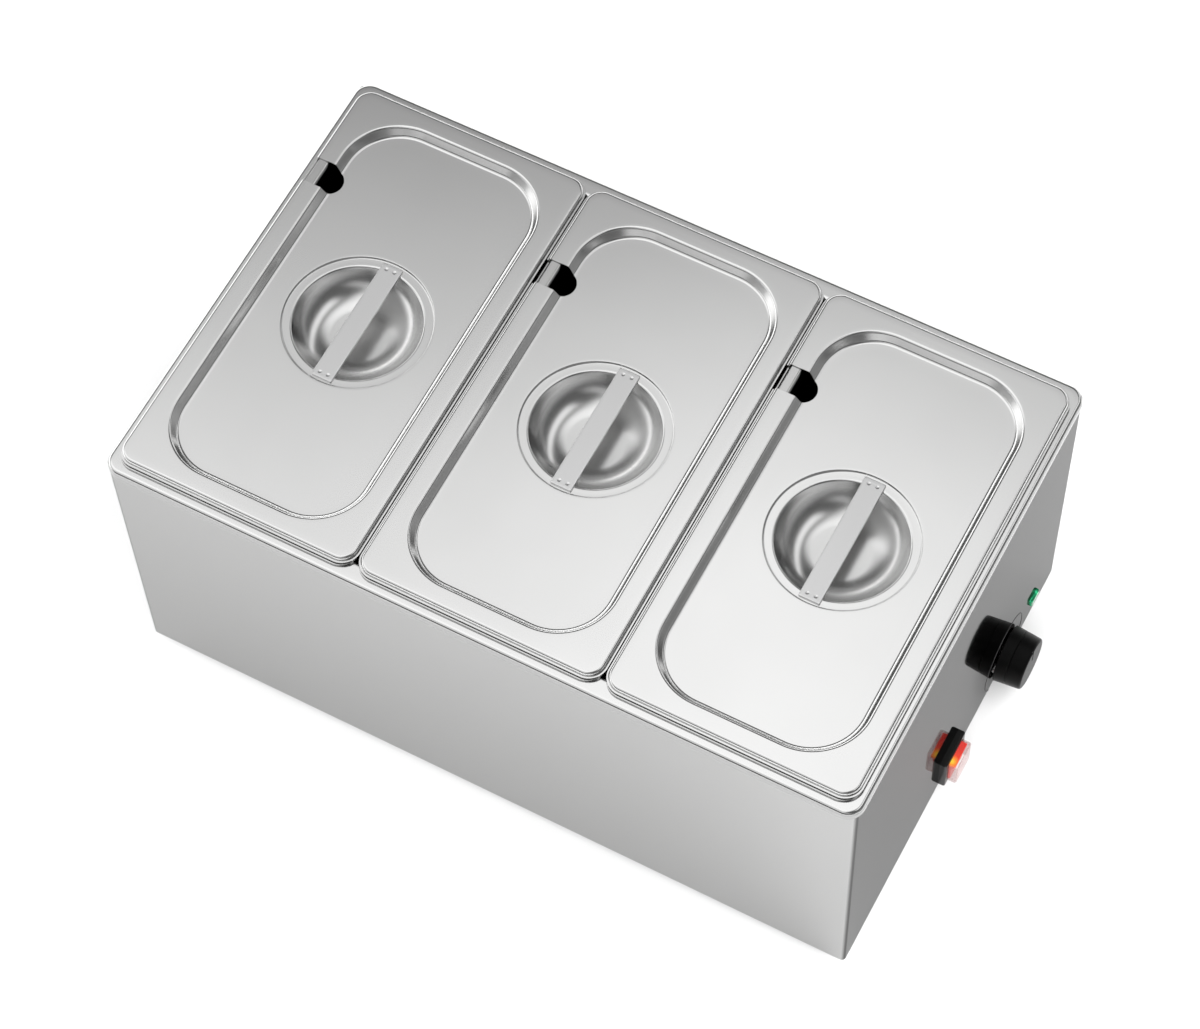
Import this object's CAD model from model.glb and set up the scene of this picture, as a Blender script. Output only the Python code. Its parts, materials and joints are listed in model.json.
"""The look of the steam table unit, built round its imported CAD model.

Everything is in metres in the CAD model's own frame: +Z is up, the control panel faces
-Y, the cable gland is at +Y, and the origin is under the middle of the body. A
sheet-metal piece is one skin of rings, which goes over both faces of the sheet.
"""

import json
import math

import bmesh
import bpy
from mathutils import Matrix, Quaternion, Vector


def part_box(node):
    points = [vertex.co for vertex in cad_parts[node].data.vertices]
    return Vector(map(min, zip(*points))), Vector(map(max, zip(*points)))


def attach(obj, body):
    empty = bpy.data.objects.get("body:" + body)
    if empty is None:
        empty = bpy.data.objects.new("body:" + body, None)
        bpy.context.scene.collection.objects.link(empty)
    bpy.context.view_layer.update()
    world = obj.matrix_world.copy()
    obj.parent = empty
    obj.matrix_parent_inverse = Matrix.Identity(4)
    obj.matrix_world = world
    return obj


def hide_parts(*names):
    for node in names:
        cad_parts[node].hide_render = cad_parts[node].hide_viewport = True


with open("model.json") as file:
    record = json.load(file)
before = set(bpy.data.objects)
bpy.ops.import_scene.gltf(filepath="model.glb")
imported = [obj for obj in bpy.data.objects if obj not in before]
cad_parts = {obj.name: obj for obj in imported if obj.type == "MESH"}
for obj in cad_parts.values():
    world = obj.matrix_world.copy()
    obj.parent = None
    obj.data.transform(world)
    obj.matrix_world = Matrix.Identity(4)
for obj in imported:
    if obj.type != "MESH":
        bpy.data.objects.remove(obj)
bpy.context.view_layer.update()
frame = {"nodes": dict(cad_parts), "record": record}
record = frame["record"]
SLOT_OF = {part["node"]: part["material_slot"] for part in record["subparts"]}
MM = 0.001

# ---- Sizes taken from the CAD nodes ----


def middle(node):
    """The middle of a CAD node's box."""
    low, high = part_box(node)
    return (low + high) / 2


def size(node):
    """The three sides of a CAD node's box."""
    low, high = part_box(node)
    return high - low


RIM_W, RIM_L = size("water_basin").xy
RIM_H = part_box("water_basin")[1].z
CASE_W = size("casing").x
CASE_L = size("casing").y
CASE_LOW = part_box("casing")[0].z
PANEL_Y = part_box("casing")[0].y
LID_W, LID_L = size("lid_1").xy
LID_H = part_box("lid_1")[1].z - RIM_H
STRAP_L, STRAP_W = size("handle_1").xy
FLANGE_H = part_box("pan_1")[1].z - RIM_H
PAN_W, PAN_L = size("pan_1").xy

SHEET = 1.0 * MM
PAN_SHEET = 0.8 * MM
PAN_INNER_DEPTH = 150 * MM
CORNER_STEPS = 20
STRAIGHT = 1e-4
TINY = 1e-9

# ---- Mesh helpers ----


def mesh_object(name, points, faces):
    """An object in the scene from points and faces."""
    mesh = bpy.data.meshes.new(name)
    mesh.from_pydata([tuple(p) for p in points], [], faces)
    mesh.validate()
    obj = bpy.data.objects.new(name, mesh)
    bpy.context.scene.collection.objects.link(obj)
    return obj


def rounded_path(points, radii, steps=6):
    """A 2D line through the points, with an arc of its own radius at each inner one."""
    path = [Vector(points[0])]
    for before, at, after, radius in zip(points, points[1:], points[2:], radii):
        at = Vector(at)
        back = (Vector(before) - at).normalized()
        ahead = (Vector(after) - at).normalized()
        half = back.angle(ahead) / 2
        if radius <= 0 or half > math.pi / 2 - STRAIGHT:
            path.append(at)
            continue
        centre = at + (back + ahead).normalized() * radius / math.sin(half)
        start = at + back * radius / math.tan(half) - centre
        turn = math.pi - 2 * half
        if start.x * (at - centre).y - start.y * (at - centre).x < 0:
            turn = -turn
        for i in range(steps + 1):
            a = turn * i / steps
            path.append(
                centre
                + Vector(
                    (
                        start.x * math.cos(a) - start.y * math.sin(a),
                        start.x * math.sin(a) + start.y * math.cos(a),
                    )
                )
            )
    path.append(Vector(points[-1]))
    return path


def rect_ring(w, l, r, z):
    """A rounded rectangle, anticlockwise from the middle of the +X side's upper end."""
    r = max(r, 0.3 * MM)
    ring = []
    for q in range(4):
        cx = (w / 2 - r) * (1, -1, -1, 1)[q]
        cy = (l / 2 - r) * (1, 1, -1, -1)[q]
        for i in range(CORNER_STEPS + 1):
            a = (q + i / CORNER_STEPS) * math.pi / 2
            ring.append((cx + r * math.cos(a), cy + r * math.sin(a), z))
    return ring


def round_ring(r, z):
    """A circle with as many points as rect_ring has."""
    count = 4 * (CORNER_STEPS + 1)
    turns = [(i + 0.5) / count * 2 * math.pi for i in range(count)]
    return [(r * math.cos(a), r * math.sin(a), z) for a in turns]


def inset_rings(w, l, r, path):
    """Rings of a rounded rectangle for a path of (inset, height)."""
    return [rect_ring(w - 2 * d, l - 2 * d, r - d, z) for d, z in path]


def other_side(path, thickness):
    """The path moved sideways by a sheet's thickness, to its right."""
    path = [Vector(p) for p in path]
    moved = []
    for before, at, after in zip([path[0], *path], path, [*path[1:], path[-1]]):
        ways = [w.normalized() for w in (at - before, after - at) if w.length > TINY]
        normals = [Vector((-w.y, w.x)) for w in ways]
        normal = sum(normals, Vector((0, 0))).normalized()
        moved.append(at - normal * thickness / max(0.5, normal.dot(normals[0])))
    return moved


def rect_rings(w, l, r):
    """What turns (inset, height) into a ring of a rounded rectangle."""
    return lambda d, z: rect_ring(w - 2 * d, l - 2 * d, r - d, z)


def bowl_rings(d, z):
    """Turns (minus radius, height) into a circle."""
    return round_ring(-d, z)


def sheet_metal(name, thickness, *parts, through=False):
    """A pressed sheet.

    Each part is (what makes its rings, its path from the edge inwards). A sheet that is
    open in the middle, like the casing, goes through.
    """
    face, back = [], []
    for make, path in parts:
        face += [make(*p) for p in path]
        back += [make(*p) for p in other_side(path, thickness)]
    rings = back[::-1] + face
    capped = not through
    return loft(name, rings, closed=through, cap_first=capped, cap_last=capped)


def loft(name, rings, closed=False, cap_last=False, cap_first=False):
    """A skin over rings with equal numbers of points."""
    count = len(rings[0])
    points = [p for ring in rings for p in ring]
    faces = []
    spans = len(rings) if closed else len(rings) - 1
    for k in range(spans):
        a, b = k * count, ((k + 1) % len(rings)) * count
        for i in range(count):
            j = (i + 1) % count
            faces.append((a + i, a + j, b + j, b + i))
    if cap_last:
        start = (len(rings) - 1) * count
        faces.append(tuple(range(start, start + count)))
    if cap_first:
        faces.append(tuple(reversed(range(count))))
    return mesh_object(name, points, faces)


def lathe_rings(profile, steps=64):
    """Rings round +Z for a profile of (radius, height)."""
    turns = [i / steps * 2 * math.pi for i in range(steps)]
    return [[(r * math.cos(a), r * math.sin(a), z) for a in turns] for r, z in profile]


def rounded_box(name, low, high, bevel, segments=3):
    """A box with rounded edges, between two corners."""
    low, high = Vector(low), Vector(high)
    bm = bmesh.new()
    bmesh.ops.create_cube(bm, size=1)
    for v in bm.verts:
        v.co = (low + high) / 2 + Vector(a * b for a, b in zip(v.co, high - low))
    bmesh.ops.bevel(
        bm,
        geom=bm.edges[:],
        offset=bevel,
        segments=segments,
        profile=0.5,
        affect="EDGES",
    )
    mesh = bpy.data.meshes.new(name)
    bm.to_mesh(mesh)
    bm.free()
    obj = bpy.data.objects.new(name, mesh)
    bpy.context.scene.collection.objects.link(obj)
    return obj


def move(obj, matrix):
    """Moves the mesh itself, so that the object's origin stays at the frame's."""
    obj.data.transform(matrix)
    return obj


def at(x, y, z):
    """A shift by x, y, z."""
    return Matrix.Translation((x, y, z))


FLAT_FACES_WIN = 100


def smooth(obj, angle=35):
    """Smooth shading, with edges past the angle kept sharp."""
    obj.data.shade_smooth()
    obj.data.set_sharp_from_angle(angle=math.radians(angle))
    weighted = obj.modifiers.new("normals", "WEIGHTED_NORMAL")
    weighted.keep_sharp = True
    weighted.weight = FLAT_FACES_WIN
    return obj


def cut(obj, cutters):
    """Cuts each cutter out of the object."""
    for cutter in cutters:
        cutter.hide_render = True
        boolean = obj.modifiers.new("cut", "BOOLEAN")
        boolean.operation = "DIFFERENCE"
        boolean.solver = "EXACT"
        boolean.object = cutter
    return obj


def soften(obj, width, segments=2, angle=40):
    """Rounds the sharp edges."""
    bevel = obj.modifiers.new("soften", "BEVEL")
    bevel.width = width
    bevel.segments = segments
    bevel.limit_method = "ANGLE"
    bevel.angle_limit = math.radians(angle)
    bevel.harden_normals = False
    return obj


def settle(obj, cutters=()):
    """Applies the modifiers and drops the cutters."""
    graph = bpy.context.evaluated_depsgraph_get()
    mesh = bpy.data.meshes.new_from_object(obj.evaluated_get(graph))
    obj.modifiers.clear()
    obj.data = mesh
    mesh.name = obj.name
    for cutter in cutters:
        bpy.data.objects.remove(cutter)
    return obj


def copy_of(obj, name, matrix):
    """A copy with its own mesh, moved by the matrix."""
    other = obj.copy()
    other.data = obj.data.copy()
    other.name = other.data.name = name
    bpy.context.scene.collection.objects.link(other)
    other.data.transform(matrix)
    return other


# ---- Materials ----


class Shader:
    """A material with a Principled shader, and short ways to add nodes to it."""

    def __init__(self, name, colour, rough, metal=0.0, **sockets):
        self.material = bpy.data.materials.new(name)
        self.material.use_nodes = True
        self.tree = self.material.node_tree
        self.out = self.tree.nodes["Principled BSDF"]
        self.set("Base Color", (*colour, 1))
        self.set("Roughness", rough)
        self.set("Metallic", metal)
        for socket, value in sockets.items():
            self.set(socket.replace("_", " ").title().replace("Ior", "IOR"), value)
        self.coords = self.tree.nodes.new("ShaderNodeTexCoord").outputs["Object"]

    def set(self, socket, value):
        """Sets a socket of the Principled shader."""
        self.out.inputs[socket].default_value = value

    def link(self, a, b):
        self.tree.links.new(a, b)

    def noise(self, scale, stretch=(1, 1, 1), detail=3.0, rough=0.6):
        """Noise with that many features to the metre, as a value."""
        mapping = self.tree.nodes.new("ShaderNodeMapping")
        mapping.inputs["Scale"].default_value = stretch
        self.link(self.coords, mapping.inputs["Vector"])
        noise = self.tree.nodes.new("ShaderNodeTexNoise")
        noise.inputs["Scale"].default_value = scale
        noise.inputs["Detail"].default_value = detail
        noise.inputs["Roughness"].default_value = rough
        self.link(mapping.outputs["Vector"], noise.inputs["Vector"])
        return noise.outputs["Fac"]

    def spread(self, value, low, high, start=0.3, end=0.7):
        """Maps a value from start..end to low..high."""
        node = self.tree.nodes.new("ShaderNodeMapRange")
        for socket, number in zip(
            ("From Min", "From Max", "To Min", "To Max"), (start, end, low, high)
        ):
            node.inputs[socket].default_value = number
        self.link(value, node.inputs["Value"])
        return node.outputs["Result"]

    def ramp(self, value, *stops):
        """Colours along a value: stops are (position, colour)."""
        node = self.tree.nodes.new("ShaderNodeValToRGB")
        elements = node.color_ramp.elements
        while len(elements) < len(stops):
            elements.new(0.5)
        for element, (position, colour) in zip(elements, stops):
            element.position = position
            element.color = (*colour, 1)
        self.link(value, node.inputs["Fac"])
        return node.outputs["Color"]

    def facing(self, axis):
        """How far the surface faces along an axis, either way: 0 to 1."""
        geometry = self.tree.nodes.new("ShaderNodeNewGeometry")
        split = self.tree.nodes.new("ShaderNodeSeparateXYZ")
        self.link(geometry.outputs["Normal"], split.inputs["Vector"])
        either_way = self.tree.nodes.new("ShaderNodeMath")
        either_way.operation = "ABSOLUTE"
        self.link(split.outputs[axis], either_way.inputs[0])
        return either_way.outputs[0]

    def bump(self, height, distance):
        """Adds relief of that height to what is there already."""
        node = self.tree.nodes.new("ShaderNodeBump")
        node.inputs["Distance"].default_value = distance
        node.inputs["Strength"].default_value = 1.0
        self.link(height, node.inputs["Height"])
        if self.out.inputs["Normal"].is_linked:
            before = self.out.inputs["Normal"].links[0].from_socket
            self.link(before, node.inputs["Normal"])
        self.link(node.outputs["Normal"], self.out.inputs["Normal"])


# Noise scales, and how a grain runs
GRAIN = 900
PATCHES = 9
WAVES = 5
ALONG_Y = (1, 0.02, 1)
ALONG_X = (0.02, 1, 1)

# The finish of drawn parts takes over between these depths under the rim
DRAWN_FROM = 2 * MM
DRAWN_WHOLLY = 5 * MM

# How dark the casing's steel is at a grazing view
CASING_TINT = 0.42


def shade(colour, factor):
    return tuple(min(1.0, c * factor) for c in colour)


def steel(name, colour, rough, grain=(1, 1, 1), wave=0.0, line=0.0, drawn=None):
    """Satin steel with faint patches of tone, and a fine grain along one axis.

    Wave and line are the height of its slow waviness and of its grain. Deep-drawn parts
    below the rim, such as the bowls, have the rougher finish drawn.
    """
    s = Shader(name, colour, rough, metal=1.0)
    lines = s.noise(GRAIN, grain, detail=2)
    patches = s.noise(PATCHES, detail=2)
    if drawn is None:
        finish = s.spread(lines, rough - 0.004, rough + 0.004)
    else:
        depth = s.tree.nodes.new("ShaderNodeSeparateXYZ")
        s.link(s.coords, depth.inputs["Vector"])
        finish = s.spread(
            depth.outputs["Z"], drawn, rough, RIM_H - DRAWN_WHOLLY, RIM_H - DRAWN_FROM
        )
    s.link(finish, s.out.inputs["Roughness"])
    s.link(
        s.ramp(patches, (0.35, shade(colour, 0.985)), (0.65, shade(colour, 1.015))),
        s.out.inputs["Base Color"],
    )
    if wave:
        s.bump(s.noise(WAVES, detail=1), wave)
    if line:
        s.bump(lines, line)
    return s.material


def panel_steel(name, colour, rough, end_factor, end_rough):
    """The casing's smooth satin steel; its two end panels are a darker shade."""
    s = Shader(name, colour, rough, metal=1.0)
    facing = s.facing("Y")
    s.link(
        s.ramp(facing, (0.2, colour), (0.8, shade(colour, end_factor))),
        s.out.inputs["Base Color"],
    )
    s.link(s.spread(facing, rough, end_rough, 0.2, 0.8), s.out.inputs["Roughness"])
    s.set("Specular Tint", (CASING_TINT, CASING_TINT, CASING_TINT, 1))
    return s.material


def rim_steel(name, colour, rough, side_factor):
    """The steel of the basin and the pans; its upright faces are a darker shade."""
    s = Shader(name, colour, rough, metal=1.0)
    s.link(
        s.ramp(s.facing("Z"), (0.3, shade(colour, side_factor)), (0.8, colour)),
        s.out.inputs["Base Color"],
    )
    patches = s.noise(PATCHES, detail=2)
    s.link(s.spread(patches, rough - 0.01, rough + 0.01), s.out.inputs["Roughness"])
    s.bump(s.noise(WAVES, detail=1), 0.1 * MM)
    return s.material


def plastic(name, colour, rough, **sockets):
    """Moulded plastic with a fine spark-eroded grain."""
    s = Shader(name, colour, rough, **sockets)
    fine = s.noise(2500, detail=2)
    s.link(s.spread(fine, rough - 0.06, rough + 0.06), s.out.inputs["Roughness"])
    s.link(
        s.ramp(s.noise(60), (0.3, shade(colour, 0.9)), (0.7, shade(colour, 1.12))),
        s.out.inputs["Base Color"],
    )
    s.bump(fine, 0.02 * MM)
    return s.material


LOOKS = {
    "casing_steel": panel_steel("casing_steel", (0.56, 0.56, 0.557), 0.15, 0.36, 0.04),
    "basin_steel": rim_steel("basin_steel", (0.65, 0.65, 0.647), 0.15, 0.55),
    "plate_steel": steel("plate_steel", (0.6, 0.6, 0.6), 0.38, ALONG_Y),
    "screw_steel": steel("screw_steel", (0.72, 0.72, 0.72), 0.22),
    "pan_steel": rim_steel("pan_steel", (0.58, 0.58, 0.576), 0.17, 0.62),
    "lid_steel": steel(
        "lid_steel", (0.64, 0.64, 0.637), 0.16, wave=0.1 * MM, drawn=0.24
    ),
    "handle_steel": steel(
        "handle_steel", (0.66, 0.66, 0.66), 0.3, ALONG_X, line=0.0004 * MM
    ),
    "spreader_aluminium": steel("spreader_aluminium", (0.78, 0.79, 0.8), 0.42),
    "element_sheath": steel("element_sheath", (0.4, 0.38, 0.35), 0.45),
    "thermostat_case": steel("thermostat_case", (0.66, 0.66, 0.65), 0.35),
    "sensor_copper": steel("sensor_copper", (0.72, 0.42, 0.28), 0.3),
    "shaft_steel": steel("shaft_steel", (0.6, 0.6, 0.6), 0.25),
    "knob_plastic": plastic(
        "knob_plastic", (0.0015, 0.0015, 0.0015), 0.35, specular_ior_level=0.1
    ),
    "dial_ink": plastic("dial_ink", (0.05, 0.05, 0.05), 0.5),
    "switch_black": plastic(
        "switch_black", (0.003, 0.003, 0.003), 0.3, specular_ior_level=0.3
    ),
    "gland_black": plastic("gland_black", (0.02, 0.02, 0.021), 0.42),
    "seal_rubber": plastic("seal_rubber", (0.03, 0.03, 0.03), 0.6),
    "foot_rubber": plastic("foot_rubber", (0.025, 0.025, 0.025), 0.65),
    "ceramic_white": plastic("ceramic_white", (0.86, 0.84, 0.78), 0.55),
    "lamp_white": plastic("lamp_white", (0.8, 0.8, 0.78), 0.45),
    "block_ivory": plastic("block_ivory", (0.82, 0.79, 0.68), 0.45),
    "wire_brown": plastic("wire_brown", (0.17, 0.07, 0.03), 0.4),
    "wire_blue": plastic("wire_blue", (0.03, 0.1, 0.45), 0.4),
    "wire_green": plastic("wire_green", (0.25, 0.5, 0.05), 0.4),
    "wire_black": plastic("wire_black", (0.02, 0.02, 0.02), 0.4),
}


# The middle of the amber glow, from the rocker's middle and the panel
GLOW_LEFT = 7 * MM
GLOW_OUT = 5.5 * MM
GLOW_UP = 11 * MM


def glowing_red():
    """The lit rocker: red plastic, with its lamp's amber glow in one upper corner."""
    s = Shader("rocker_red", (0.25, 0.008, 0.005), 0.25, specular_ior_level=0.3)
    spot = middle("switch_rocker")
    offset = s.tree.nodes.new("ShaderNodeVectorMath")
    offset.operation = "DISTANCE"
    offset.inputs[1].default_value = (
        spot.x - GLOW_LEFT,
        PANEL_Y - GLOW_OUT,
        spot.z + GLOW_UP,
    )
    s.link(s.coords, offset.inputs[0])
    glow = s.ramp(
        s.spread(offset.outputs["Value"], 0, 1, 1 * MM, 11 * MM),
        (0.0, (1.0, 0.8, 0.03)),
        (0.15, (1.0, 0.4, 0.02)),
        (0.4, (0.8, 0.05, 0.01)),
        (1.0, (0.6, 0.018, 0.01)),
    )
    s.link(glow, s.out.inputs["Emission Color"])
    s.set("Emission Strength", 0.8)
    s.bump(s.noise(1500), 0.01 * MM)
    return s.material


def clear_cover():
    """Soft plastic, tinted by the rocker: nearly clear face on, milky at its edges."""
    s = Shader("cover_clear", (0.42, 0.2, 0.19), 0.1, coat_weight=0.3)
    facing = s.tree.nodes.new("ShaderNodeLayerWeight")
    facing.inputs["Blend"].default_value = 0.4
    s.link(
        s.spread(facing.outputs["Facing"], 0.05, 0.7, 0.2, 0.9), s.out.inputs["Alpha"]
    )
    s.link(s.spread(s.noise(220), 0.06, 0.16), s.out.inputs["Roughness"])
    return s.material


def lit_green():
    """The lamp's lens: dark green, with bright facets where the lamp shows through."""
    s = Shader("lamp_green", (0.002, 0.07, 0.03), 0.12, coat_weight=0.3)
    glow = s.ramp(
        s.noise(480, (0.5, 1, 1), detail=1),
        (0.42, (0.0, 0.05, 0.02)),
        (0.52, (0.0, 0.3, 0.12)),
        (0.62, (0.05, 0.8, 0.35)),
    )
    s.link(glow, s.out.inputs["Emission Color"])
    s.set("Emission Strength", 0.7)
    return s.material


LOOKS["rocker_red"] = glowing_red()
LOOKS["cover_clear"] = clear_cover()
LOOKS["lamp_green"] = lit_green()


def finish_piece(obj, slot, body, *nodes):
    """Gives a piece its material, its body and the CAD nodes that it stands for."""
    obj.data.materials.clear()
    obj.data.materials.append(LOOKS[slot])
    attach(obj, body)
    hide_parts(*nodes)
    return obj


# ---- Camera ----

CAMERA_AT = Vector((-1.02331, -0.60096, 2.31242))
CAMERA_TO = Vector((-0.05426, -0.03199, 0.25))
CAMERA_ROLL = math.radians(-2.802)
LENS = 110.95

camera_data = bpy.data.cameras.new("camera")
camera_data.lens = LENS
camera_data.sensor_width = 36
camera_data.clip_start = 0.05
camera_data.clip_end = 50
camera = bpy.data.objects.new("camera", camera_data)
bpy.context.scene.collection.objects.link(camera)
aim = (CAMERA_TO - CAMERA_AT).to_track_quat("-Z", "Y")
camera.rotation_mode = "QUATERNION"
camera.rotation_quaternion = aim @ Quaternion((0, 0, 1), CAMERA_ROLL)
camera.location = CAMERA_AT
bpy.context.scene.camera = camera

# ---- Basin with its rim ----

# An opening is its width, length and corner radius
RIM_R = 12 * MM
RIM_EDGE_R = 3.2 * MM
LIP = 7 * MM
OPENING = (308 * MM, 510 * MM, 30 * MM)
BASIN_FLOOR = RIM_H - 167 * MM

lip = rounded_path([(0, RIM_H - LIP), (0, RIM_H), (LIP, RIM_H)], [RIM_EDGE_R], 10)
wall = rounded_path(
    [(-4 * MM, RIM_H), (0, RIM_H), (0, BASIN_FLOOR), (26 * MM, BASIN_FLOOR)],
    [3 * MM, 12 * MM],
    8,
)
basin = sheet_metal(
    "basin",
    SHEET,
    (rect_rings(RIM_W, RIM_L, RIM_R), lip),
    (rect_rings(*OPENING), wall),
)
settle(smooth(basin))
finish_piece(basin, "basin_steel", "root", "water_basin")

# ---- Casing ----

CASE_R = 3 * MM
CASE_FLANGE = 14 * MM
CASE_FOLD_R = 1.6 * MM
CASE_TOP = RIM_H - SHEET - 0.3 * MM

case_path = rounded_path(
    [(CASE_FLANGE, CASE_LOW), (0, CASE_LOW), (0, CASE_TOP)], [CASE_FOLD_R], 6
)
casing = sheet_metal(
    "casing_shell", SHEET, (rect_rings(CASE_W, CASE_L, CASE_R), case_path), through=True
)
CONTROL_Z = middle("temperature_knob").z
KNOB_X = middle("temperature_knob").x
SWITCH_X = middle("switch_frame").x
LAMP_X = middle("lamp_lens").x
GLAND = middle("gland_body")
SHAFT_HOLE_R = 5 * MM
SWITCH_HOLE = (23 * MM, 26.4 * MM)
LAMP_HOLE = (11 * MM, 5.5 * MM)
GLAND_HOLE_R = 8.2 * MM
CUTTER_LENGTH = 10 * MM


def on_panel(x, out=0.0):
    """Turns +Z to point out of the control panel, at the controls' height."""
    return at(x, PANEL_Y - out, CONTROL_Z) @ Matrix.Rotation(math.pi / 2, 4, "X")


def on_back():
    """Turns +Z to point out of the back, at the cable gland."""
    return at(GLAND.x, -PANEL_Y, GLAND.z) @ Matrix.Rotation(-math.pi / 2, 4, "X")


def pipe_cutter(r, matrix):
    """A cutter for a round hole."""
    rings = lathe_rings([(r, -CUTTER_LENGTH / 2), (r, CUTTER_LENGTH / 2)], 48)
    return move(loft("cutter", rings, cap_first=True, cap_last=True), matrix)


def window_cutter(w, h, matrix):
    """A cutter for a rectangular hole."""
    corner = Vector((w / 2, h / 2, CUTTER_LENGTH / 2))
    return move(rounded_box("cutter", -corner, corner, 0.5 * MM, 2), matrix)


holes = [
    pipe_cutter(SHAFT_HOLE_R, on_panel(KNOB_X)),
    window_cutter(*SWITCH_HOLE, on_panel(SWITCH_X)),
    window_cutter(*LAMP_HOLE, on_panel(LAMP_X)),
    pipe_cutter(GLAND_HOLE_R, on_back()),
]
cut(casing, holes)
settle(casing, holes)
settle(smooth(casing))
finish_piece(casing, "casing_steel", "root", "casing")

# ---- Food pans ----

MOUTH = (302 * MM, 153 * MM, 28 * MM)
PAN_R = 13 * MM
PAN_FOOT = 1.5 * MM
PAN_FOOT_EXTRA = 4 * MM
PAN_UNDER_LID = 0.35 * MM


def make_pan():
    """A pan whose edge steps up from a narrow foot on the rim to the flange above."""
    top = LID_H - PAN_SHEET - PAN_UNDER_LID
    bottom = FLANGE_H - PAN_INNER_DEPTH
    outer = rounded_path(
        [(0, 0.1 * MM), (0, PAN_FOOT), (2 * MM, PAN_FOOT)], [0.5 * MM], 5
    )
    edge = rounded_path(
        [
            (1.2 * MM, PAN_FOOT),
            (1.7 * MM, PAN_FOOT),
            (1.9 * MM, -1.2 * MM),
            (2.9 * MM, -1.2 * MM),
            (3.0 * MM, top),
            (9 * MM, top),
        ],
        [0.2 * MM, 0.2 * MM, 0.2 * MM, 0.6 * MM],
        5,
    )
    drop = rounded_path(
        [(-2 * MM, top), (0, top), (3 * MM, bottom), (24 * MM, bottom)],
        [2 * MM, 15 * MM],
        8,
    )
    pan = sheet_metal(
        "pan",
        PAN_SHEET,
        (rect_rings(PAN_W + PAN_FOOT_EXTRA, PAN_L, PAN_R), outer),
        (rect_rings(PAN_W, PAN_L, PAN_R - 0.7 * MM), edge),
        (rect_rings(*MOUTH), drop),
    )
    return settle(smooth(pan))


# ---- Lids ----

LID_R = 13 * MM
LID_FOOT = 3.2 * MM
RECESS = (295 * MM, 143 * MM, 41 * MM)
SLOPE_W = 3.9 * MM
LEDGE_R = 50.6 * MM
LEDGE_DROP = 1.4 * MM
BOWL_R = 43.4 * MM
BOWL_RIM_R = BOWL_R + 2.5 * MM
BOWL_DEPTH = 18 * MM
BOWL_CURVE = 26 * MM
NOTCH_W = 20.3 * MM
NOTCH_D = 26.5 * MM
NOTCH_X = 87 * MM


def make_lid():
    """A lid with its skirt, sunken panel, ledge, bowl and ladle notch."""
    skirt = rounded_path(
        [
            (0.1 * MM, LID_FOOT),
            (1.2 * MM, LID_FOOT),
            (1.9 * MM, LID_H),
            (8 * MM, LID_H),
        ],
        [0.35 * MM, 2.2 * MM],
        8,
    )
    slope = rounded_path(
        [(-4 * MM, LID_H), (0, LID_H), (SLOPE_W, 0), (10 * MM, 0)],
        [2.4 * MM, 2.6 * MM],
        10,
    )
    ledge = rounded_path(
        [
            (-LEDGE_R - 2 * MM, 0),
            (-LEDGE_R, 0),
            (-LEDGE_R + 0.5 * MM, -LEDGE_DROP),
            (-BOWL_RIM_R, -LEDGE_DROP),
        ],
        [0.6 * MM, 0.9 * MM],
        5,
    )
    bowl = rounded_path(
        [
            (-BOWL_RIM_R, -LEDGE_DROP),
            (-BOWL_R - 0.4 * MM, -LEDGE_DROP),
            (-BOWL_R + 9.5 * MM, -BOWL_DEPTH),
            (-9 * MM, -BOWL_DEPTH),
            (-3 * MM, -BOWL_DEPTH),
        ],
        [1.8 * MM, BOWL_CURVE, 0],
        10,
    )
    lid = sheet_metal(
        "lid",
        PAN_SHEET,
        (rect_rings(LID_W, LID_L, LID_R), skirt),
        (rect_rings(*RECESS), slope),
        (bowl_rings, ledge + bowl[1:]),
    )
    notch = notch_cutter()
    cut(lid, [notch])
    settle(lid, [notch])
    return settle(smooth(lid))


def notch_cutter():
    """A slot with one round end, from the lid's edge inwards."""
    r = NOTCH_W / 2
    y = LID_L / 2 - NOTCH_D + r
    reach = 20 * MM
    steps = 24
    outline = [
        (NOTCH_X + r * math.cos(a), y - r * math.sin(a))
        for a in (math.pi * i / steps for i in range(steps + 1))
    ]
    outline += [(NOTCH_X - r, LID_L), (NOTCH_X + r, LID_L)]
    outline.reverse()
    low = [(x, y, -reach) for x, y in outline]
    high = [(x, y, reach) for x, y in outline]
    return loft("notch_cutter", [low, high], cap_first=True, cap_last=True)


STRAP_R = 0.8 * MM
WELD_R = 1.5 * MM
WELD_FROM_END = 4 * MM
WELD_PITCH = 6 * MM
WELD_DEPTH = 0.3 * MM


def make_strap():
    """The flat strap with a pair of spot welds pressed into each end."""
    edge = rounded_path([(0, -LEDGE_DROP), (0, 0), (2 * MM, 0)], [0.45 * MM], 4)
    strap = loft(
        "strap",
        inset_rings(STRAP_L, STRAP_W, STRAP_R, edge),
        cap_first=True,
        cap_last=True,
    )
    weld_x = STRAP_L / 2 - WELD_FROM_END
    rings = (0.05, 0.3, 0.55, 0.8, 1.0)
    profile = [(WELD_R * k, WELD_DEPTH * (k**2 - 1)) for k in rings]
    profile.append((WELD_R * 1.1, 0.3 * MM))
    dimples = []
    for x in (-weld_x, weld_x):
        for y in (-WELD_PITCH / 2, WELD_PITCH / 2):
            dimple = loft(
                "dimple", lathe_rings(profile, 24), cap_first=True, cap_last=True
            )
            dimples.append(move(dimple, at(x, y, 0)))
    cut(strap, dimples)
    settle(strap, dimples)
    return settle(smooth(strap, 30))


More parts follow.
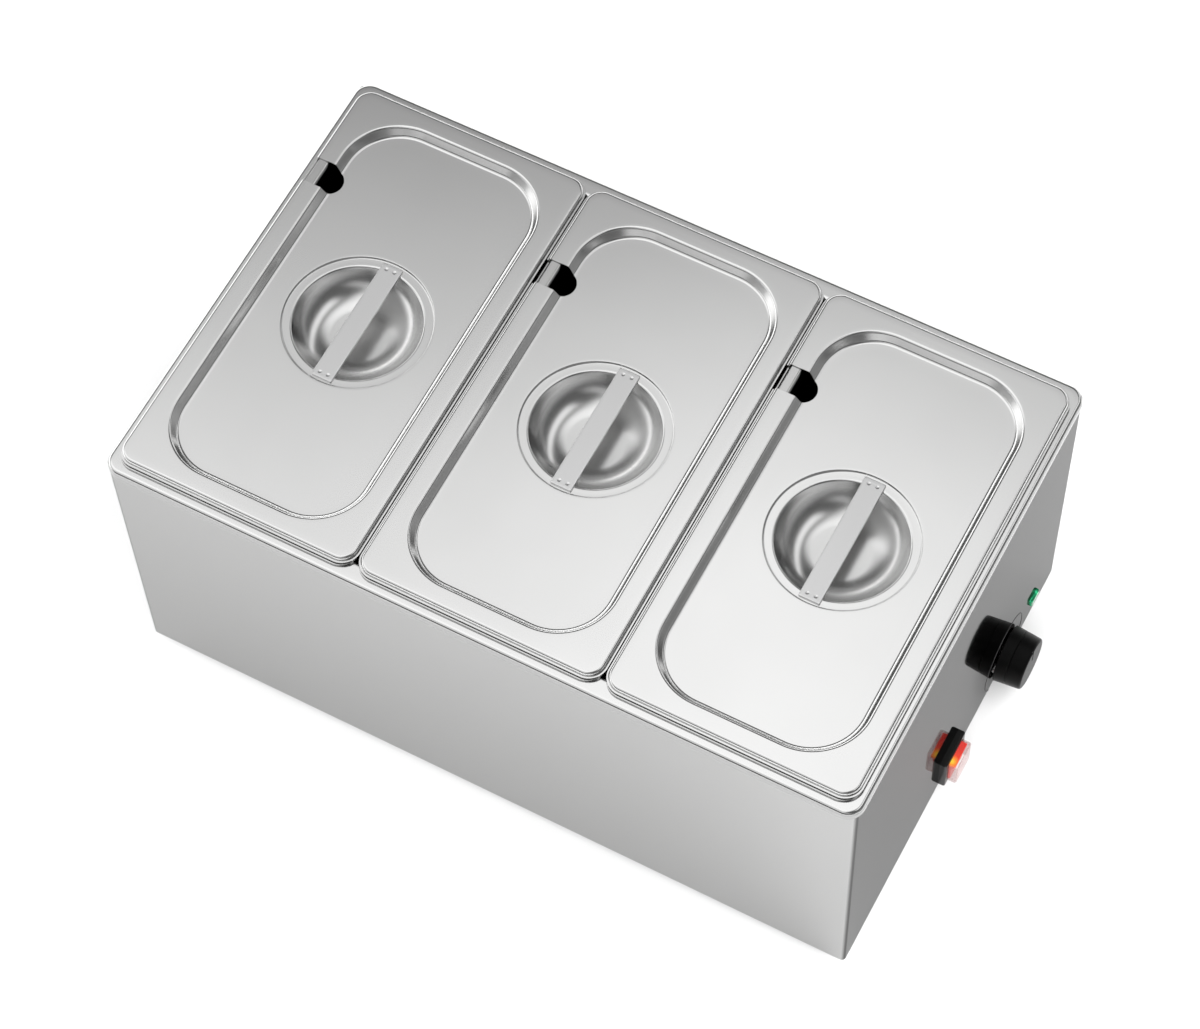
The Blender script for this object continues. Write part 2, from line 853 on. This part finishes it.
pan_mesh, lid_mesh, strap_mesh = make_pan(), make_lid(), make_strap()
for i in (1, 2, 3):
    place = at(0, middle(f"handle_{i}").y, RIM_H)
    pan = copy_of(pan_mesh, f"food_pan_{i}", place)
    finish_piece(pan, "pan_steel", f"pan_{i}", f"pan_{i}")
    lid = copy_of(lid_mesh, f"lid_sheet_{i}", place)
    finish_piece(lid, "lid_steel", f"lid_{i}", f"lid_{i}")
    strap = copy_of(strap_mesh, f"strap_handle_{i}", place)
    finish_piece(strap, "handle_steel", f"lid_{i}", f"handle_{i}")
for obj in (pan_mesh, lid_mesh, strap_mesh):
    bpy.data.objects.remove(obj)

# ---- Temperature knob ----

KNOB_R = size("temperature_knob").x / 2
KNOB_HIGH = size("temperature_knob").y
KNOB_GAP = PANEL_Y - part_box("temperature_knob")[1].y
KNOB_FACE_R = 18.85 * MM
KNOB_HOLLOW = 9 * MM
KNOB_WALL_R = 18 * MM
HUB_HOLE_R = 3.2 * MM
HUB_R = 6.5 * MM
GROOVE = 0.42 * KNOB_HIGH
GROOVE_W = 0.4 * MM
POINTER_W = 1.6 * MM
POINTER_FROM = 6 * MM
POINTER_DEPTH = 0.9 * MM


def knob_side(z):
    """The knob's radius at a height, on its tapered flank."""
    return KNOB_R - (KNOB_R - KNOB_FACE_R) * z / KNOB_HIGH


knob_path = rounded_path(
    [
        (HUB_HOLE_R, 1 * MM),
        (HUB_R, 1 * MM),
        (HUB_R, KNOB_HOLLOW),
        (KNOB_WALL_R, KNOB_HOLLOW),
        (KNOB_WALL_R, 0),
        (KNOB_R, 0),
        (knob_side(GROOVE - GROOVE_W), GROOVE - GROOVE_W),
        (knob_side(GROOVE) - GROOVE_W, GROOVE),
        (knob_side(GROOVE + GROOVE_W), GROOVE + GROOVE_W),
        (KNOB_FACE_R, KNOB_HIGH),
        (1 * MM, KNOB_HIGH),
    ],
    [r * MM for r in (0.4, 0.6, 0.6, 0.3, 0.4, 0.15, 0.1, 0.15, 2.0)],
    6,
)
knob = loft("knob", lathe_rings(knob_path, 96), cap_first=True, cap_last=True)
pointer = rounded_box(
    "pointer",
    (-POINTER_W / 2, POINTER_FROM, KNOB_HIGH - POINTER_DEPTH),
    (POINTER_W / 2, KNOB_R * 2, KNOB_HIGH + 2 * MM),
    0.25 * MM,
)
cut(knob, [pointer])
settle(knob, [pointer])
settle(smooth(move(knob, on_panel(KNOB_X, KNOB_GAP)), 30))
finish_piece(knob, "knob_plastic", "knob", "temperature_knob")

# ---- Mains switch ----

FRAME_W, FRAME_T, FRAME_H = size("switch_frame")
ROCKER_W = 19.6 * MM
ROCKER_L = 22 * MM
ROCKER_PROUD = 5.6 * MM
ROCKER_DISH = 2 * MM
ROCKER_GAP = 0.3 * MM
PIVOT_OUT = 2.5 * MM
ROCKER_TILT = math.radians(7)
COVER_W, COVER_OUT, COVER_H = size("switch_cover")
COVER_SHEET = 0.7 * MM
COVER_R = 2.2 * MM

outside = rounded_path(
    [(0, 0), (0, FRAME_T - 1.2 * MM), (0.6 * MM, FRAME_T), (3 * MM, FRAME_T)],
    [1 * MM, 0.5 * MM],
    4,
)
inside = rounded_path([(-0.6 * MM, FRAME_T), (0, FRAME_T), (0, 0)], [0.4 * MM], 4)
window = (ROCKER_W + 2 * ROCKER_GAP, ROCKER_L + 2 * ROCKER_GAP, 0.6 * MM)
bezel = loft(
    "switch_bezel",
    inset_rings(FRAME_W, FRAME_H, 1.5 * MM, outside) + inset_rings(*window, inside),
    closed=True,
)
settle(smooth(move(bezel, on_panel(SWITCH_X))))
finish_piece(bezel, "switch_black", "root", "switch_frame")


def make_rocker():
    """A dished bar, drawn as its side view and widened along X."""
    half = ROCKER_L / 2
    side = [
        (4 * MM, -4.5 * MM),
        (half, -1 * MM),
        (half, ROCKER_PROUD),
        (0, ROCKER_PROUD - ROCKER_DISH),
        (-half, ROCKER_PROUD),
        (-half, -1 * MM),
        (-4 * MM, -4.5 * MM),
    ]
    side = rounded_path(side, [r * MM for r in (0.5, 0.7, 1.2, 0.7, 0.5)], 5)
    count = len(side)
    points = [(-ROCKER_W / 2, y, z) for y, z in side]
    points += [(ROCKER_W / 2, y, z) for y, z in side]
    after = [(i + 1) % count for i in range(count)]
    faces = [(i, i + count, j + count, j) for i, j in enumerate(after)]
    faces += [tuple(range(count)), tuple(reversed(range(count, 2 * count)))]
    rocker = mesh_object("rocker", points, faces)
    rocker.data.flip_normals()
    return soften(rocker, 0.45 * MM, 3)


rocker = settle(make_rocker())
tilt = Matrix.Rotation(ROCKER_TILT, 4, "X")
move(rocker, on_panel(SWITCH_X, PIVOT_OUT) @ tilt)
settle(smooth(rocker, 30))
finish_piece(rocker, "rocker_red", "rocker", "switch_rocker")

dome = rounded_path([(0, 0), (0, COVER_OUT), (5 * MM, COVER_OUT)], [1.6 * MM], 8)
cover = sheet_metal(
    "splash_cover", COVER_SHEET, (rect_rings(COVER_W, COVER_H, COVER_R), dome)
)
settle(smooth(move(cover, on_panel(SWITCH_X, FRAME_T))))
finish_piece(cover, "cover_clear", "root", "switch_cover")

# ---- Lamp ----

LAMP_W, LAMP_OUT, LAMP_H = size("lamp_lens")
lens_side = rounded_path(
    [(0, 0), (0, LAMP_OUT - 0.7 * MM), (0.7 * MM, LAMP_OUT), (2 * MM, LAMP_OUT)],
    [0.25 * MM, 0.25 * MM],
    3,
)
lens = loft(
    "lamp_cap",
    inset_rings(LAMP_W, LAMP_H, 0.5 * MM, lens_side),
    cap_first=True,
    cap_last=True,
)
settle(smooth(move(lens, on_panel(LAMP_X)), 25))
finish_piece(lens, "lamp_green", "root", "lamp_lens")

# ---- CAD nodes that keep their own shape ----

# Edge radii in millimetres
ROUNDED = {
    "gland_body": 0.4,
    "gland_cap": 0.4,
    "gland_nut": 0.3,
    "foot_front_left": 0.5,
    "foot_front_right": 0.5,
    "foot_rear_left": 0.5,
    "foot_rear_right": 0.5,
    "base_screws": 0.15,
    "foot_screws": 0.15,
    "thermostat_body": 0.4,
    "switch_body": 0.4,
    "terminal_block": 0.4,
}
WELD_GAP = 0.01 * MM

# The CAD's meshes stay as they are: they get materials and modifiers
for name, obj in frame["nodes"].items():
    look = LOOKS[SLOT_OF[name]]
    if not obj.material_slots:
        obj.data.materials.append(look)
    for slot in obj.material_slots:
        slot.link = "OBJECT"
        slot.material = look
    if name in ROUNDED:
        weld = obj.modifiers.new("weld", "WELD")
        weld.merge_threshold = WELD_GAP
        soften(obj, ROUNDED[name] * MM, 3, 30)
        obj.modifiers.new("normals", "WEIGHTED_NORMAL").keep_sharp = True

# ---- Floor, lights and world ----

FLOOR = 9.0
HORIZON = 0.02


def make_floor():
    """A plain pale floor, with very faint patches."""
    corners = [(-FLOOR, -FLOOR), (FLOOR, -FLOOR), (FLOOR, FLOOR), (-FLOOR, FLOOR)]
    floor = mesh_object("floor", [(x, y, 0) for x, y in corners], [(0, 1, 2, 3)])
    s = Shader("floor_white", (0.88, 0.88, 0.88), 0.7)
    s.link(
        s.ramp(s.noise(3), (0.3, (0.87, 0.87, 0.87)), (0.7, (0.89, 0.89, 0.89))),
        s.out.inputs["Base Color"],
    )
    floor.data.materials.append(s.material)


def soft_sun(name, direction, strength):
    """A very wide soft light from far away, which doesn't show in the steel."""
    light = bpy.data.lights.new(name, "SUN")
    light.energy = strength
    light.angle = 1.0
    obj = bpy.data.objects.new(name, light)
    obj.rotation_mode = "QUATERNION"
    obj.rotation_quaternion = Vector(direction).to_track_quat("Z", "Y")
    obj.visible_glossy = False
    bpy.context.scene.collection.objects.link(obj)


class Sky:
    """A plain studio as a world, lit by a few soft-edged panels of light.

    A direction is given by its x, y and z, or by where it meets a ceiling 1 m up:
    across is x / z and along is y / z.
    """

    def __init__(self):
        world = bpy.data.worlds.new("studio")
        world.use_nodes = True
        bpy.context.scene.world = world
        self.tree = world.node_tree
        coords = self.tree.nodes.new("ShaderNodeTexCoord")
        split = self.tree.nodes.new("ShaderNodeSeparateXYZ")
        self.tree.links.new(coords.outputs["Generated"], split.inputs["Vector"])
        self.x, self.y, self.z = (split.outputs[k] for k in "XYZ")
        up = self.math("MAXIMUM", self.z, HORIZON)
        self.across = self.math("DIVIDE", self.x, up)
        self.along = self.math("DIVIDE", self.y, up)
        self.total = None

    def math(self, operation, a, b):
        """A sum on two values, each a number or a socket."""
        node = self.tree.nodes.new("ShaderNodeMath")
        node.operation = operation
        for socket, value in zip(node.inputs, (a, b)):
            if isinstance(value, (int, float)):
                socket.default_value = value
            else:
                self.tree.links.new(value, socket)
        return node.outputs[0]

    def edge(self, value, start, end):
        """0 at start and 1 at end, with a soft step between them."""
        node = self.tree.nodes.new("ShaderNodeMapRange")
        node.interpolation_type = "SMOOTHSTEP"
        self.tree.links.new(value, node.inputs["Value"])
        low, high = 0, 1
        if start > end:
            start, end = end, start
            low, high = 1, 0
        for socket, number in zip(
            ("From Min", "From Max", "To Min", "To Max"), (start, end, low, high)
        ):
            node.inputs[socket].default_value = number
        return node.outputs["Result"]

    def far_from(self, across, along):
        """How far a direction is from the one given."""
        dx = self.math("SUBTRACT", self.across, across)
        dy = self.math("SUBTRACT", self.along, along)
        squares = [self.math("MULTIPLY", d, d) for d in (dx, dy)]
        return self.math("SQRT", self.math("ADD", *squares), 0)

    def add(self, strength, *edges):
        """Adds light of that strength where all the edges are 1."""
        part = strength
        for edge in edges:
            part = self.math("MULTIPLY", edge, part)
        self.total = part if self.total is None else self.math("ADD", self.total, part)

    def done(self):
        """Puts the light into the world."""
        background = self.tree.nodes["Background"]
        background.inputs["Color"].default_value = (1, 1, 1, 1)
        self.tree.links.new(self.total, background.inputs["Strength"])


make_floor()
sky = Sky()
slant = sky.math("ADD", sky.across, sky.math("MULTIPLY", sky.along, 0.3))
glint = sky.far_from(0.5, 0.22)

# Each panel is its strength and its edges, and an edge runs from dark to lit
PANELS = [
    # Dim everywhere
    (0.13, [(sky.z, -1.0, -0.9)]),
    # Two panels overhead, of which one reaches farther over the near long side
    (
        0.53,
        [
            (slant, 0.84, 0.4),
            (sky.across, -0.5, -0.35),
            (sky.along, -0.3, 0.0),
            (sky.along, 2.0, 1.0),
        ],
    ),
    (
        0.8,
        [
            (slant, 0.84, 0.4),
            (sky.across, -1.7, -1.3),
            (sky.along, -0.3, 0.0),
            (sky.along, 2.0, 1.0),
        ],
    ),
    # A small glint in the bowls
    (0.5, [(glint, 0.13, 0.0)]),
    # A strip past the control end
    (
        1.3,
        [
            (sky.along, -0.3, -0.4),
            (sky.along, -0.8, -0.65),
            (sky.across, -0.2, 0.1),
        ],
    ),
    # A small panel past the near long side
    (
        0.5,
        [
            (sky.across, -0.7, -0.9),
            (sky.across, -1.7, -1.3),
            (sky.along, -1.5, -0.5),
            (sky.along, 0.0, -0.3),
        ],
    ),
    # Low panels past the cable end, the control end and the far long side
    (2.2, [(sky.along, 1.8, 2.8), (sky.along, 14, 7), (sky.across, -4, -2)]),
    (0.2, [(sky.along, -1.6, -2.4), (sky.along, -7, -5)]),
    (0.3, [(sky.across, 2.0, 3.0)]),
    # The pale backdrop at the horizon, but not past the control end
    (0.85, [(sky.z, 0.16, 0.08), (sky.y, -0.7, -0.45)]),
]
for strength, edges in PANELS:
    sky.add(strength, *(sky.edge(*edge) for edge in edges))
sky.done()
soft_sun("left_fill", (-1.0, -0.3, 0.9), 2.6)
soft_sun("front_fill", (0.3, -1.0, 0.9), 2.4)

scene = bpy.context.scene
scene.view_settings.view_transform = "Standard"
scene.view_settings.look = "None"
